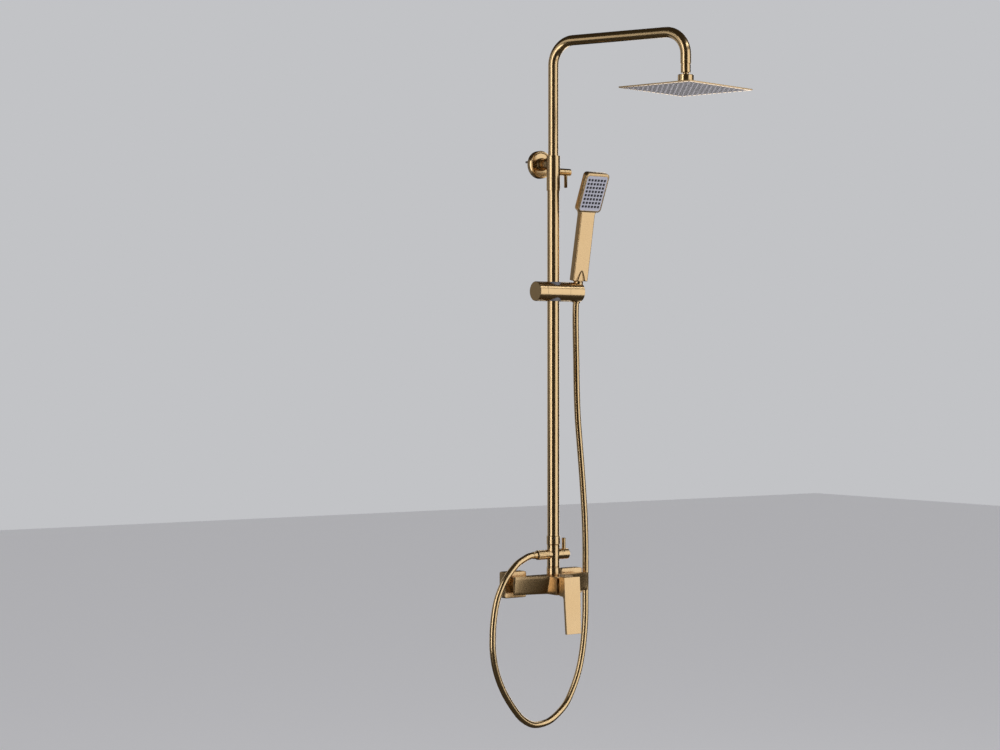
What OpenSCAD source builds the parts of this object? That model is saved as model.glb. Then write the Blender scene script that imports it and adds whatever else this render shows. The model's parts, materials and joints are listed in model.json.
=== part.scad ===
// Exposed rainfall shower column: wall-bar mixer, diverter, telescopic riser with a
// swan-neck arm, square rain head, sliding holder, hand shower and hose.
// X runs right along the wall, Y = 0 is the wall face and the room is at -Y, Z is up.
// The origin lies on the wall midway between the two water inlets.

/* [Wall fixing] */
// Distance between the two water inlets
inlet_gap = 150; // [146:1:154]
// Side of the square wall rosettes
rosette_w = 56; // [54:1:58]
// Distance of the riser axis from the wall
riser_out = 54; // [52:1:56]

/* [Riser] */
// Outside diameter of the fixed lower tube
riser_d = 26; // [25.5:0.5:27]
// Outside diameter of the telescopic upper tube
upper_d = 22; // [21:0.5:22]
// Height of the slider axis above the inlets
slider_z = 628; // [500:1:640]

/* [Arm and head] */
// Horizontal reach of the arm from the riser axis
arm_reach = 335; // [300:1:380]
// Angle the arm is swung to the right of straight out
arm_swing = 18; // [0:1:30]
// Angle the arm drops below level
arm_droop = 1.4; // [0:0.1:2]
// Side of the square rain head
head_w = 195; // [160:5:250]
// Angle the rain head is turned back from the arm
head_turn = 9.4; // [0:0.2:20]
// Angle the rain head dips along the arm
head_tilt = 1.6; // [0:0.2:3]

/* [Hand shower] */
// Forward lean of the hand shower's handle
lean = 11; // [6:1:16]
// Further lean of the spray head over the handle
head_lean = 13; // [8:1:18]

/* [Hidden] */
$fn = 64;

gold = [0.72, 0.55, 0.32];
brass = [0.78, 0.66, 0.38];
grey_plastic = [0.45, 0.46, 0.50];
white_plastic = [0.85, 0.85, 0.83];
black_rubber = [0.08, 0.08, 0.09];
steel = [0.62, 0.62, 0.64];
ceramic = [0.90, 0.90, 0.88];

// mixer
body_half_h = 19.5;
wing_x = 98;
boss_x = 22;
body_back = 32;
end_back = 44;
wing_end_out = 50;
wing_mid_out = 72;
boss_out = 97;
cart_r = 17;
cart_back = 62;
stem_pivot_out = 84;
rosette_t = 20;

// diverter and foot of the riser
port_z = 64;
tee_r = 13.5;
tee_top = 85;
// chamfer on the turned rings at the foot, so that each joint shows as a line
seam_ease = 0.9;
// the collar's screw is turned this far to the left of straight out from the wall
screw_turn = 25;
riser_r = riser_d / 2;
riser_ri = riser_r - 1.3;
upper_r = upper_d / 2;
collar_r = riser_r + 1.4;
foot_z = 86;

// clamp and wall bracket
sleeve_z0 = 845;
sleeve_z1 = 919;
sleeve_r = riser_r + 1.6;
lower_top = 861;
clamp_z = 886;
bracket_z = 904;

// upper tube
bend_r = 50;
upper_z0 = 640;
bend_z = 1113;
arm_end_z = 1088;
ball_z = 1056;
head_z = 1036;

// slider and hand shower
slider_r = 21;
hand_x = 64;
handle_z0 = 25;
handle_z1 = 179;

// hose
hose_r = 7;
hose_sides = 12;

// centre line of the hose, from the diverter port round the loop to the hand shower
hose_route = [
    [-53.5, -54, 64], [-65, -55, 62.3], [-77, -56, 58], [-98, -57, 47], [-123, -57, 22.5],
    [-137.5, -57, 0], [-148.5, -57, -25], [-154, -56, -50], [-157.5, -55, -80],
    [-158, -54, -105], [-157, -53, -130], [-150.5, -51, -163], [-138.5, -49, -196],
    [-120, -47, -230], [-94, -44, -264], [-71.5, -42, -286], [-41, -39, -300.5],
    [-5, -36, -299], [23, -33, -287], [51, -30, -265], [71, -28, -235],
    [87, -26, -202], [97.5, -24, -170], [104, -23, -137], [108.5, -22, -103],
    [111, -21, -70], [112, -20, -36], [112.2, -20, 0], [112.2, -20, 38],
    [112, -20, 76], [110.3, -20, 130], [106.5, -21, 175], [101, -22.5, 230],
    [93.9, -25, 285], [84.5, -29, 353], [78.5, -33, 415], [73.5, -38, 477],
    [68, -43.3, 546], [65, -47, 582], [64, -riser_out + 24 * tan(lean), slider_z - 24]
];

// ---- helpers -------------------------------------------------------------------

// a cylinder along X from x0 to x1
module rod_x(x0, x1, r) {
    translate([x0, 0, 0])
        rotate([0, 90, 0])
            cylinder(h = x1 - x0, r = r);
}

// a cylinder along the way out of the wall, from depth d0 to depth d1
module rod_y(d0, d1, r) {
    translate([0, -d0, 0])
        rotate([90, 0, 0])
            cylinder(h = d1 - d0, r = r);
}

// a round piece turned about the way out of the wall; profile points are [radius, depth]
module turned_y(points) {
    rotate([90, 0, 0])
        rotate_extrude()
            polygon(points);
}

// a ring about Z
module ring_z(z0, z1, r_in, r_out) {
    translate([0, 0, z0])
        difference() {
            cylinder(h = z1 - z0, r = r_out);
            translate([0, 0, -1])
                cylinder(h = z1 - z0 + 2, r = r_in);
        }
}

// a ring about Z whose outer edges are broken by a small chamfer
module eased_ring_z(z0, z1, r_in, r_out, ease) {
    rotate_extrude()
        polygon([[r_in, z0], [r_out - ease, z0], [r_out, z0 + ease],
                 [r_out, z1 - ease], [r_out - ease, z1], [r_in, z1]]);
}

// a ring about X
module ring_x(x0, x1, r_in, r_out) {
    difference() {
        rod_x(x0, x1, r_out);
        rod_x(x0 - 1, x1 + 1, r_in);
    }
}

// a ring about the way out of the wall
module ring_y(d0, d1, r_in, r_out) {
    difference() {
        rod_y(d0, d1, r_out);
        rod_y(d0 - 1, d1 + 1, r_in);
    }
}

// a flat-sided prism about Y with six sides, across flats af
module hex_y(d0, d1, af) {
    translate([0, -d0, 0])
        rotate([90, 0, 0])
            cylinder(h = d1 - d0, r = af / sqrt(3), $fn = 6);
}

// a rectangle with rounded corners, centred, w along x and h along y
module round_rect(w, h, r) {
    union() {
        square([w - 2 * r, h], center = true);
        square([w, h - 2 * r], center = true);
        for (i = [-1, 1])
            for (j = [-1, 1])
                translate([i * (w / 2 - r), j * (h / 2 - r)])
                    circle(r = r);
    }
}

module at_inlets() {
    for (s = [-1, 1])
        translate([s * inlet_gap / 2, 0, 0])
            children();
}

module at_riser() {
    translate([0, -riser_out, 0])
        children();
}

// frame of the arm: local -Y points along the arm
module at_arm() {
    at_riser()
        rotate([0, 0, arm_swing])
            children();
}

// frame of the rain head's ball
module at_ball() {
    at_arm()
        translate([0, -arm_reach, ball_z])
            children();
}

// frame of the rain head, dipped and turned about its ball
module at_head() {
    at_ball()
        rotate([head_tilt, 0, 0])
            rotate([0, 0, -head_turn])
                children();
}

// frame of the diverter port axis
module at_port() {
    translate([0, -riser_out, port_z])
        children();
}

module at_slider() {
    translate([0, -riser_out, slider_z])
        children();
}

// frame of the hand shower: local Z runs up its handle
module at_hand() {
    translate([hand_x, -riser_out, slider_z])
        rotate([lean, 0, 0])
            children();
}

// frame of the spray head: local Z runs up the head, the face looks along -Y
module at_hand_head() {
    at_hand()
        translate([0, 0, handle_z1])
            rotate([head_lean, 0, 0])
                children();
}

// ---- mixer ---------------------------------------------------------------------

// plan of the mixer casting, in X and depth
module body_plan() {
    polygon([
        [-wing_x, -end_back], [10 - wing_x, -body_back], [wing_x - 10, -body_back],
        [wing_x, -end_back], [wing_x, -wing_end_out],
        [boss_x, -wing_mid_out], [boss_x, -boss_out], [-boss_x, -boss_out],
        [-boss_x, -wing_mid_out], [-wing_x, -wing_end_out]
    ]);
}

// prism that undercuts the front of one wing so its face leans back towards the bottom
module wing_undercut() {
    wing_turn = atan((wing_mid_out - wing_end_out) / (wing_x - boss_x));
    translate([boss_x, -wing_mid_out, 0])
        rotate([0, 0, wing_turn])
            translate([-1.9, 0, 0])
                rotate([90, 0, 90])
                    linear_extrude(100)
                        polygon([[-0.01, 9], [12, -20.5], [-20, -20.5], [-20, 9]]);
}

module mixer_body() {
    color(gold)
        difference() {
            union() {
                difference() {
                    translate([0, 0, -body_half_h])
                        linear_extrude(2 * body_half_h)
                            body_plan();
                    difference() {
                        union() {
                            wing_undercut();
                            mirror([1, 0, 0])
                                wing_undercut();
                        }
                        translate([-boss_x, -120, -30])
                            cube([2 * boss_x, 120, 60]);
                    }
                }
                at_inlets()
                    rod_y(24, body_back + 2, 13);
                at_riser()
                    cylinder(h = 30, r = 12);
            }
            // cartridge bore
            rod_y(cart_back, boss_out + 1, 17.3);
            // water ways: inlet sockets, cross drillings and the outlet to the riser
            at_inlets()
                rod_y(23, 44, 8);
            for (s = [-1, 1])
                translate([0, -40, -9 * s])
                    rod_x(s > 0 ? 10 : -inlet_gap / 2, s > 0 ? inlet_gap / 2 : -10, 4);
            for (s = [-1, 1])
                translate([14 * s, 0, -9 * s])
                    rod_y(36, cart_back + 1, 4);
            at_riser()
                translate([0, 0, 5])
                    cylinder(h = 30, r = 7);
            translate([0, 0, 8])
                rod_y(riser_out, cart_back + 1, 4);
        }
}

module cartridge() {
    color(white_plastic)
        difference() {
            rod_y(cart_back + 0.2, 90, cart_r);
            rod_y(72, 91, 12.3);
            for (s = [-1, 1])
                translate([9 * s, 0, -6])
                    rod_y(cart_back - 1, 73, 3);
            translate([0, 0, 9])
                rod_y(cart_back - 1, 73, 3);
        }
}

module cartridge_nut() {
    color(gold)
        difference() {
            union() {
                rod_y(90.2, 98, 17.25);
                turned_y([[0, 97.9], [16, 97.9], [16, 100], [14.5, 103], [0, 103]]);
            }
            rod_y(90, 96, 12.3);
            turned_y([[0, 95], [10, 95], [13.2, 104], [0, 104]]);
        }
}

module cartridge_rotor() {
    color(ceramic)
        difference() {
            rod_y(72.2, 92, 12.2);
            // slot the spindle tips in
            translate([-4.3, -93, -8])
                cube([8.6, 19, 16]);
        }
}

module cartridge_stem() {
    color(brass)
        translate([0, -stem_pivot_out, 0])
            union() {
                rod_x(-4, 4, 4);
                translate([-4, -32, -4])
                    cube([8, 32, 8]);
                translate([-4, 0, -3])
                    cube([8, 7, 6]);
            }
}

lever_half_w = 20.5;
lever_tip_half_w = 18.7;

module mixer_lever() {
    color(gold)
        difference() {
            intersection() {
                translate([-lever_half_w, 0, 0])
                    rotate([90, 0, 90])
                        linear_extrude(2 * lever_half_w)
                            polygon([
                                [-104, 20], [-121.5, 20], [-128.5, -100], [-122.5, -100],
                                [-118.2, -26], [-116, -21], [-104, -20]
                            ]);
                rotate([90, 0, 0])
                    linear_extrude(140)
                        polygon([
                            [-lever_half_w, 21], [lever_half_w, 21], [lever_half_w, -18],
                            [lever_tip_half_w, -101], [-lever_tip_half_w, -101],
                            [-lever_half_w, -18]
                        ]);
            }
            // recess over the nut, and the square socket for the spindle
            rod_y(103, 110, 17.5);
            translate([-4.05, -116.2, -4.05])
                cube([8.1, 10, 8.1]);
            // grub screw hole from below
            translate([0, -112.5, -21])
                cylinder(h = 18, r = 2.05);
        }
}

module lever_screw() {
    color(steel)
        translate([0, -112.5, -14])
            difference() {
                cylinder(h = 9.8, r = 2);
                translate([0, 0, -1])
                    cylinder(h = 3, r = 1.2, $fn = 6);
            }
}

// eccentric unions: threaded into the wall, then a stepped nose inside the nut
module inlet_studs() {
    color(brass)
        at_inlets()
            difference() {
                union() {
                    rod_y(-14, 0.5, 10.4);
                    rod_y(0, 16, 14.5);
                    rod_y(15.5, 23.6, 12.6);
                }
                rod_y(-15, 25, 6.5);
            }
}

module inlet_nuts() {
    color(gold)
        at_inlets()
            difference() {
                hex_y(20.6, 31.6, 33);
                rod_y(19, 33, 13.1);
            }
}

module inlet_washers() {
    color(black_rubber)
        at_inlets()
            ring_y(23.65, 23.95, 8.2, 12.4);
}

module check_valves() {
    color(white_plastic)
        at_inlets()
            difference() {
                rod_y(25, 40, 7.9);
                rod_y(24, 36, 5.5);
                for (i = [0:2])
                    rotate([0, 120 * i, 0])
                        translate([0, 0, 3])
                            rod_y(30, 41, 1.4);
            }
}

module wall_rosettes() {
    color(gold)
        at_inlets()
            difference() {
                rotate([90, 0, 0])
                    linear_extrude(rosette_t)
                        round_rect(rosette_w, rosette_w, 4);
                translate([0, 1, 0])
                    rotate([90, 0, 0])
                        linear_extrude(rosette_t - 1.5)
                            round_rect(rosette_w - 4, rosette_w - 4, 2.5);
                rod_y(10, rosette_t + 1, 14.8);
            }
}

// ---- diverter and foot of the riser --------------------------------------------

module base_nut() {
    color(gold)
        at_riser()
            difference() {
                union() {
                    eased_ring_z(20.5, 36.2, 11, 14.4, seam_ease);
                    ring_z(36, 37.4, 10.4, 13.6);
                }
                cylinder(h = 34, r = 12.08);
            }
}

module base_seal() {
    color(black_rubber)
        at_riser()
            ring_z(30.02, 31.48, 7.2, 11.6);
}

module diverter_body() {
    color(gold)
        difference() {
            union() {
                at_riser() {
                    translate([0, 0, 31.5])
                        cylinder(h = 2.3, r = 11.8);
                    translate([0, 0, 33])
                        cylinder(h = 6, r = 10.1);
                    eased_ring_z(37.7, tee_top, 5, tee_r, seam_ease);
                    translate([0, 0, tee_top - 1])
                        cylinder(h = 18, r = riser_ri - 0.1);
                }
                at_port() {
                    rod_x(-17.5, 0, 10.3);
                    rod_x(-30, 0, 7.9);
                    rod_x(0, 17.8, 11.3);
                }
            }
            at_riser()
                translate([0, 0, 30])
                    cylinder(h = 80, r = 7.2);
            at_port() {
                rod_x(-31, 0, 5);
                rod_x(-8, 18, 8.7);
            }
            // groove for the ring that seals the riser tube
            at_riser()
                ring_z(95, 97.4, riser_ri - 1.8, riser_ri + 2);
        }
}

module diverter_core() {
    color(ceramic)
        at_port()
            difference() {
                union() {
                    rod_x(-7.5, 12, 7.9);
                    rod_x(11, 34, 3.4);
                }
                // port cut: up the riser in one position, out to the hose in the other
                rod_x(-8, 1, 5);
                cylinder(h = 20, r = 4.6);
                ring_x(-5.6, -3.9, 7, 9);
                ring_x(7.6, 9.3, 7, 9);
            }
}

module core_rings() {
    color(black_rubber)
        at_port() {
            ring_x(-5.5, -4, 7.03, 8.6);
            ring_x(7.7, 9.2, 7.03, 8.6);
        }
}

module diverter_gland() {
    color(brass)
        at_port()
            ring_x(12.3, 17.9, 3.45, 8.65);
}

module diverter_knob() {
    color(gold)
        at_port()
            difference() {
                union() {
                    rod_x(18.2, 36.5, 11.3);
                    translate([36.4, 0, 0])
                        rotate([0, 90, 0])
                            cylinder(h = 2, r1 = 11.25, r2 = 9.3);
                }
                rod_x(18, 34.2, 3.45);
                translate([27.8, 0, 6])
                    cylinder(h = 6, r = 4.12);
            }
}

module diverter_pin() {
    color(gold)
        at_port()
            translate([27.8, 0, 6.2]) {
                cylinder(h = 27.2, r = 4.1);
                translate([0, 0, 27.1])
                    cylinder(h = 0.9, r1 = 4.05, r2 = 3.3);
            }
}

module foot_collar() {
    color(gold)
        difference() {
            at_riser()
                eased_ring_z(85.2, 104, riser_r + 0.06, collar_r, seam_ease);
            at_riser()
                translate([0, 0, 99.5])
                    rotate([0, 0, -screw_turn])
                        rod_y(0, collar_r + 2, 1.8);
        }
}

module collar_screw() {
    color(steel)
        at_riser()
            translate([0, 0, 99.5])
                rotate([0, 0, -screw_turn])
                    difference() {
                        rod_y(riser_ri + 0.5, collar_r - 0.2, 1.75);
                        rod_y(collar_r - 1.6, collar_r, 0.9);
                    }
}

module foot_ring() {
    color(black_rubber)
        at_riser()
            ring_z(95.2, 97.2, riser_ri - 1.7, riser_ri - 0.02);
}

// ---- riser ---------------------------------------------------------------------

module lower_tube() {
    color(gold)
        difference() {
            at_riser()
                ring_z(foot_z, lower_top, riser_ri, riser_r);
            at_riser()
                translate([0, 0, 99.5])
                    rotate([0, 0, -screw_turn])
                        rod_y(0, riser_r + 2, 1.8);
        }
}

module clamp_sleeve() {
    color(gold)
        difference() {
            union() {
                at_riser()
                    translate([0, 0, sleeve_z0])
                        cylinder(h = sleeve_z1 - sleeve_z0, r = sleeve_r);
                translate([0, -riser_out, clamp_z])
                    rod_x(0, 26.5, 7.7);
                translate([0, 0, bracket_z])
                    rod_y(36, riser_out, 11.8);
            }
            at_riser()
                translate([0, 0, sleeve_z0 - 1])
                    cylinder(h = 71, r = riser_r + 0.06);
            at_riser()
                translate([0, 0, sleeve_z0 + 69])
                    cylinder(h = 10, r = upper_r + 0.35);
            translate([0, -riser_out, clamp_z])
                rod_x(upper_r, 27, 4.1);
            // socket for the wall stem and its grub screw
            translate([0, 0, bracket_z])
                rod_y(35, 38.5, 7.1);
        }
}

module guide_bush() {
    color(grey_plastic)
        difference() {
            at_riser()
                ring_z(lower_top + 0.3, sleeve_z0 + 69.6, upper_r + 0.05, riser_r);
            translate([0, -riser_out, clamp_z])
                rod_x(upper_r - 3, riser_r + 1, 4.1);
        }
}

module clamp_knob() {
    color(gold)
        translate([0, -riser_out, clamp_z])
            difference() {
                union() {
                    rod_x(26.8, 43.5, 7.7);
                    translate([43.4, 0, 0])
                        rotate([0, 90, 0])
                            cylinder(h = 1.1, r1 = 7.65, r2 = 6.5);
                    rod_x(14.3, 27, 4.03);
                }
                translate([33.2, 0, -8])
                    cylinder(h = 5, r = 3.62);
            }
}

module clamp_pin() {
    color(gold)
        translate([33.2, -riser_out, clamp_z - 33.5]) {
            translate([0, 0, 0.8])
                cylinder(h = 29.3, r = 3.6);
            cylinder(h = 0.9, r1 = 2.8, r2 = 3.55);
        }
}

module clamp_shoe() {
    color(grey_plastic)
        translate([0, -riser_out, clamp_z])
            difference() {
                rod_x(upper_r - 2, 14.2, 3.95);
                translate([0, 0, -6])
                    cylinder(h = 12, r = upper_r + 0.05);
            }
}

// wall of the swan-neck's tube, as a flat ring
module tube_section() {
    difference() {
        circle(r = upper_r);
        circle(r = upper_r - 1.1);
    }
}

// ring of weld inside the tube's wall, over a join; local Z runs along the tube
module weld() {
    translate([0, 0, -1])
        difference() {
            cylinder(h = 2, r = upper_r - 0.3);
            translate([0, 0, -1])
                cylinder(h = 4, r = upper_r - 1.6);
        }
}

// swan-neck tube: straight up, round, along the arm and down; drawn in the X-Z plane
module upper_tube() {
    gap = 0.05;
    rise = bend_r * cos(arm_droop);
    lag = bend_r * sin(arm_droop);
    straight = (arm_reach - 2 * bend_r) / cos(arm_droop);
    far_z = bend_z - straight * sin(arm_droop);
    color(gold)
        at_arm()
            rotate([0, 0, -90]) {
                translate([0, 0, upper_z0])
                    linear_extrude(bend_z - upper_z0 - gap)
                        tube_section();
                translate([0, 0, bend_z])
                    weld();
                translate([bend_r, 0, bend_z])
                    mirror([1, 0, 0])
                        rotate([90, 0, 0])
                            rotate_extrude(angle = 90 + arm_droop)
                                translate([bend_r, 0])
                                    tube_section();
                translate([bend_r + lag, 0, bend_z + rise])
                    rotate([0, 90 + arm_droop, 0]) {
                        weld();
                        translate([0, 0, gap])
                            linear_extrude(straight - 2 * gap)
                                tube_section();
                        translate([0, 0, straight])
                            weld();
                    }
                translate([arm_reach - bend_r, 0, far_z])
                    rotate([90, 0, 0])
                        rotate_extrude(angle = 90 - arm_droop)
                            translate([bend_r, 0])
                                tube_section();
                translate([arm_reach, 0, far_z])
                    weld();
                translate([arm_reach, 0, arm_end_z])
                    linear_extrude(far_z - arm_end_z - gap)
                        tube_section();
            }
}

module tube_piston() {
    color(grey_plastic)
        at_riser()
            difference() {
                union() {
                    ring_z(upper_z0 - 26, upper_z0 - 0.3, 6, riser_ri - 0.06);
                    ring_z(upper_z0 - 1, upper_z0 + 14, 6, upper_r - 1.16);
                }
                ring_z(upper_z0 - 20, upper_z0 - 17.4, riser_ri - 2, riser_ri + 1);
                ring_z(upper_z0 - 11, upper_z0 - 8.4, riser_ri - 2, riser_ri + 1);
            }
}

module piston_rings() {
    color(black_rubber)
        at_riser() {
            ring_z(upper_z0 - 19.9, upper_z0 - 17.5, riser_ri - 1.95, riser_ri - 0.03);
            ring_z(upper_z0 - 10.9, upper_z0 - 8.5, riser_ri - 1.95, riser_ri - 0.03);
        }
}

// ---- wall bracket --------------------------------------------------------------

wall_screw_ring = 15;

module at_wall_screws() {
    for (i = [0:2])
        rotate([0, 120 * i + 90, 0])
            translate([wall_screw_ring, 0, 0])
                children();
}

module wall_plate() {
    color(steel)
        translate([0, 0, bracket_z])
            difference() {
                union() {
                    rod_y(0, 4, 22);
                    rod_y(3, 20, 8);
                }
                at_wall_screws()
                    rod_y(-1, 5, 2.4);
            }
}

module wall_screws() {
    color(steel)
        translate([0, 0, bracket_z])
            at_wall_screws()
                difference() {
                    union() {
                        rod_y(-28, 0, 2.3);
                        rod_y(-1, 4.2, 2.2);
                        rod_y(4.05, 6.6, 4.2);
                    }
                    translate([-2.6, -7, -0.6])
                        cube([5.2, 1.6, 1.2]);
                    translate([-0.6, -7, -2.6])
                        cube([1.2, 1.6, 5.2]);
                }
}

module wall_flange() {
    color(gold)
        translate([0, 0, bracket_z])
            difference() {
                turned_y([
                    [0, 0.2], [30, 0.2], [30, 9.5], [28.6, 11.5], [26, 12], [24, 11], [14, 11], [0, 11]
                ]);
                rod_y(-1, 9, 27);
                rod_y(5, 13, 12.9);
            }
}

module wall_stem() {
    color(gold)
        translate([0, 0, bracket_z])
            difference() {
                union() {
                    turned_y([
                        [0, 7.2], [12.6, 7.2], [12.6, 11.2], [14.2, 11.2], [14.2, 14.5],
                        [12.8, 16], [12.2, 24], [12.2, 35.9], [0, 35.9]
                    ]);
                    rod_y(35, 38.4, 7.05);
                }
                rod_y(7, 21, 8.06);
                translate([0, -17.5, -15])
                    cylinder(h = 8, r = 2.05);
            }
}

module stem_screw() {
    color(steel)
        translate([0, -17.5, bracket_z - 12.4])
            difference() {
                cylinder(h = 4.3, r = 2);
                translate([0, 0, -1])
                    cylinder(h = 2.5, r = 1.1, $fn = 6);
            }
}

// ---- slider and holder ---------------------------------------------------------

bush_r = riser_r + 3.2;

module slider_bush() {
    color(grey_plastic)
        at_slider()
            difference() {
                ring_z(-20.4, 20.4, riser_r + 0.06, bush_r);
                // slit that lets the ring close on the tube
                translate([bush_r - 5, -0.7, -21])
                    cube([6, 1.4, 42]);
            }
}

module slider_body() {
    color(gold)
        at_slider()
            difference() {
                rod_x(-27.6, 31.2, slider_r);
                translate([0, 0, -slider_r - 1])
                    cylinder(h = 2 * slider_r + 2, r = bush_r + 0.06);
                rod_x(-28, -10, 4.05);
                rod_x(bush_r + 1.8, 32, 5.05);
            }
}

module slider_knob() {
    color(gold)
        at_slider()
            union() {
                rod_x(-47, -27.9, slider_r);
                translate([-47.7, 0, 0])
                    rotate([0, 90, 0])
                        cylinder(h = 0.75, r1 = 20.3, r2 = 20.95);
                rod_x(-28, -18.8, 3.98);
            }
}

module slider_pad() {
    color(grey_plastic)
        at_slider()
            difference() {
                rod_x(-18.6, -bush_r + 2, 3.9);
                translate([0, 0, -6])
                    cylinder(h = 12, r = bush_r + 0.07);
            }
}

module holder_axle() {
    color(steel)
        at_slider()
            union() {
                rod_x(bush_r + 2, 43.5, 5);
                rod_x(40, 43.5, 8);
            }
}

// the end of the slider, with the tapered seat open at its end for the hose
module holder() {
    color(gold)
        difference() {
            at_slider()
                rod_x(31.5, 69.7, slider_r);
            at_slider() {
                rod_x(31, 39.9, 5.05);
                rod_x(39.8, 43.8, 8.1);
            }
            at_hand()
                translate([0, 0, -30])
                    cylinder(h = 60, r1 = cone_r(-30) + 0.05, r2 = cone_r(30) + 0.05);
        }
}

// radius of the hand shower's taper at local height h
function cone_r(h) = 9.6 + 0.045 * h;

// ---- hose ----------------------------------------------------------------------

module hose_nut() {
    color(gold)
        at_port()
            difference() {
                union() {
                    rod_x(-43, -18, 10.2);
                    translate([-45, 0, 0])
                        rotate([0, 90, 0])
                            cylinder(h = 2.1, r1 = 9, r2 = 10.15);
                }
                rod_x(-33.6, -17, 7.98);
                rod_x(-46, -33, 6.3);
                for (i = [0:11])
                    rotate([30 * i, 0, 0])
                        translate([0, 0, 11.4])
                            rod_x(-42, -20.5, 1.7);
            }
}

// sealing washer in the hose nut
module hose_gasket() {
    color(black_rubber)
        at_port()
            ring_x(-31.6, -30.1, 5.2, 7.8);
}

// crimped insert: a flange inside the nut, a tail and the visible ferrule
module hose_insert() {
    color(gold)
        at_port()
            difference() {
                union() {
                    rod_x(-33.4, -31.7, 7.8);
                    rod_x(-46, -33, 6.2);
                    rod_x(-53.5, -45.4, 7.7);
                }
                rod_x(-54.5, -31, 4);
            }
}

// sealing washer under the hand shower's spigot
module hand_gasket() {
    color(black_rubber)
        at_hand()
            ring_z(14.1, 15.6, 4.2, 7.2);
}

// crimped insert at the hand shower's end of the hose
module hand_insert() {
    color(brass)
        at_hand()
            difference() {
                union() {
                    translate([0, 0, 12.4])
                        cylinder(h = 1.6, r = 7.2);
                    translate([0, 0, -24])
                        cylinder(h = 37, r = 5.9);
                }
                translate([0, 0, -25])
                    cylinder(h = 40, r = 4);
            }
}

// a point of the smooth curve through the route between points i and i + 1
function route_at(i) = hose_route[max(0, min(len(hose_route) - 1, i))];
function spline(i, t) =
    let (p0 = route_at(i - 1), p1 = route_at(i), p2 = route_at(i + 1), p3 = route_at(i + 2))
    0.5 * ((2 * p1) + (p2 - p0) * t + (2 * p0 - 5 * p1 + 4 * p2 - p3) * t * t
           + (3 * p1 - p0 - 3 * p2 + p3) * t * t * t);

function unit(v) = v / norm(v);

// one ring of points round the hose at p, square to direction t
function hose_ring(p, t) =
    let (side = unit(cross(t, [0, 1, 0.05])), up = cross(side, t))
    [for (k = [0:hose_sides - 1])
        p + hose_r * (side * cos(360 * k / hose_sides) + up * sin(360 * k / hose_sides))];

module hose_tube() {
    steps = 2;
    last = len(hose_route) - 1;
    line = concat([for (i = [0:last - 1]) for (s = [0:steps - 1]) spline(i, s / steps)],
                  [hose_route[last]]);
    n = len(line);
    dirs = [for (i = [0:n - 1])
        i == 0 ? [-1, 0, 0]
        : i == n - 1 ? unit([0, -sin(lean), cos(lean)])
        : unit(line[i + 1] - line[i - 1])];
    rings = [for (i = [0:n - 1]) hose_ring(line[i], dirs[i])];
    points = concat([for (ring = rings) for (q = ring) q], [line[0], line[n - 1]]);
    s = hose_sides;
    walls = [for (i = [0:n - 2]) for (k = [0:s - 1]) each [
        [i * s + k, i * s + (k + 1) % s, (i + 1) * s + (k + 1) % s],
        [i * s + k, (i + 1) * s + (k + 1) % s, (i + 1) * s + k]]];
    caps = [for (k = [0:s - 1]) each [
        [n * s, (k + 1) % s, k],
        [n * s + 1, (n - 1) * s + k, (n - 1) * s + (k + 1) % s]]];
    color(gold)
        polyhedron(points = points, faces = concat(walls, caps));
}

module cone_nut() {
    color(gold)
        at_hand()
            difference() {
                translate([0, 0, -23])
                    cylinder(h = 46, r1 = cone_r(-23), r2 = cone_r(23));
                translate([0, 0, -24])
                    cylinder(h = 48, r = 6);
                translate([0, 0, 12.3])
                    cylinder(h = 12, r = 8.05);
            }
}

// ---- hand shower ---------------------------------------------------------------

handle_w0 = 38;
handle_w1 = 36;
handle_t = 16;
spray_w = 62;
spray_h = 88;
spray_t = 14.5;
face_w = spray_w - 8;
face_h = spray_h - 10;
face_mid = spray_h / 2 - 3.2;

module hand_body() {
    color(gold)
        difference() {
            union() {
                at_hand() {
                    translate([0, handle_t / 2, 0])
                        rotate([90, 0, 0])
                            linear_extrude(handle_t)
                                polygon([
                                    [-handle_w0 / 2, handle_z0], [handle_w0 / 2, handle_z0],
                                    [handle_w1 / 2, handle_z1 + 6], [-handle_w1 / 2, handle_z1 + 6]
                                ]);
                    translate([0, 0, 15.7])
                        cylinder(h = 12, r = 7.95);
                    translate([0, 0, 23.3])
                        cylinder(h = 3, r = 9.7);
                }
                at_hand_head()
                    translate([0, spray_t - 9.5, spray_h / 2 - 2])
                        rotate([90, 0, 0])
                            linear_extrude(spray_t)
                                round_rect(spray_w, spray_h, 8);
            }
            // water way up the handle
            at_hand()
                translate([0, 0, 14])
                    cylinder(h = handle_z1 - 18, r = 4);
            // pocket for the face
            at_hand_head()
                translate([0, -4, face_mid])
                    rotate([90, 0, 0])
                        linear_extrude(10)
                            round_rect(face_w, face_h, 5.5);
            at_hand_head()
                translate([0, -2, face_mid])
                    rotate([90, 0, 0])
                        linear_extrude(3)
                            round_rect(face_w - 8, face_h - 9, 4);
            at_hand()
                translate([0, 0, handle_z1 - 8])
                    rotate([head_lean, 0, 0])
                        cylinder(h = 24, r = 2.6);
        }
}

nozzle_cols = 6;
nozzle_rows = 8;
nozzle_dx = 8.2;
nozzle_dz = 8.5;

module at_hand_nozzles() {
    at_hand_head()
        for (i = [0:nozzle_cols - 1])
            for (j = [0:nozzle_rows - 1])
                translate([(i - (nozzle_cols - 1) / 2) * nozzle_dx, 0,
                           face_mid + (j - (nozzle_rows - 1) / 2) * nozzle_dz])
                    children();
}

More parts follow.
